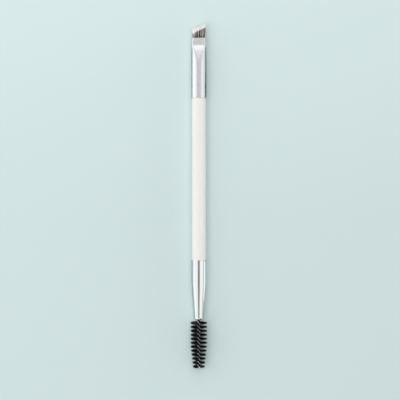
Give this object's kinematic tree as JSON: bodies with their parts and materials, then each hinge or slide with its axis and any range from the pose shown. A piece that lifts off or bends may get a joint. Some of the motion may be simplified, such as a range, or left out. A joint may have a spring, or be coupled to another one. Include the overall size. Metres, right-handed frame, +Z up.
{
  "type": "eyebrow brush",
  "caption": "Double-ended eyebrow brush: a slim round handle with an angled flat tuft at one end and a twisted-wire spoolie at the other, each in a metal ferrule.",
  "frame": {"origin": "under the middle of the brush, on the surface that it lies on", "axes": "+Y along the brush from the spoolie to the angled tuft, +Z up and square to the flat ferrule's upper face, +X towards the tuft's long corner"},
  "size_m": [0.0082, 0.175, 0.0082],
  "materials": {
    "lacquered_wood": "off-white satin lacquer over turned wood",
    "ferrule_metal": "polished drawn aluminium",
    "tuft_hair": "fine synthetic hair, brown with pale tips",
    "glue": "clear amber epoxy",
    "plug_plastic": "plain moulded plug",
    "wire_steel": "drawn stainless wire",
    "spoolie_nylon": "black nylon fibre"
  },
  "bodies": {
    "root": {"handle": "lacquered_wood", "flat_ferrule": "ferrule_metal", "cone_ferrule": "ferrule_metal", "tuft": "tuft_hair", "tuft_glue": "glue", "wire_plug": "plug_plastic", "twisted_wire": "wire_steel", "spoolie_fibres": "spoolie_nylon"}
  },
  "joints": []
}
